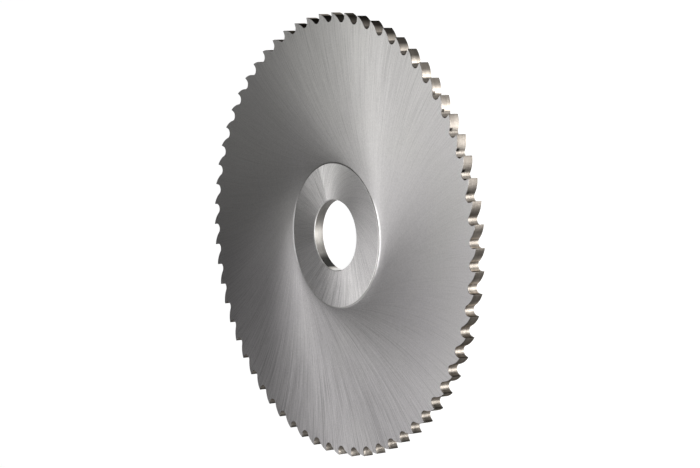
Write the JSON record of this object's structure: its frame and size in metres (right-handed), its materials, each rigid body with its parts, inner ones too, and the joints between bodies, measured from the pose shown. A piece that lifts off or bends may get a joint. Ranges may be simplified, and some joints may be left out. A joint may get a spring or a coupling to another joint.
{
  "type": "slitting saw",
  "caption": "Flat one-piece metal slitting saw: a thin toothed disc with a plain bore, a raised hub ring and hollow-ground sides.",
  "frame": {"origin": "centre of the bore on the lower hub face, which is the surface the saw lies on", "axes": "+Z along the bore axis, away from the lower hub face; +X through the tip of one tooth; seen from +Z the teeth point counter-clockwise"},
  "size_m": [0.2, 0.2, 0.005],
  "materials": {
    "ground_steel": "ground high-speed steel with fine grinding lines, polished bore and tooth gullets"
  },
  "bodies": {
    "root": {"saw_blade": "ground_steel"}
  },
  "joints": []
}
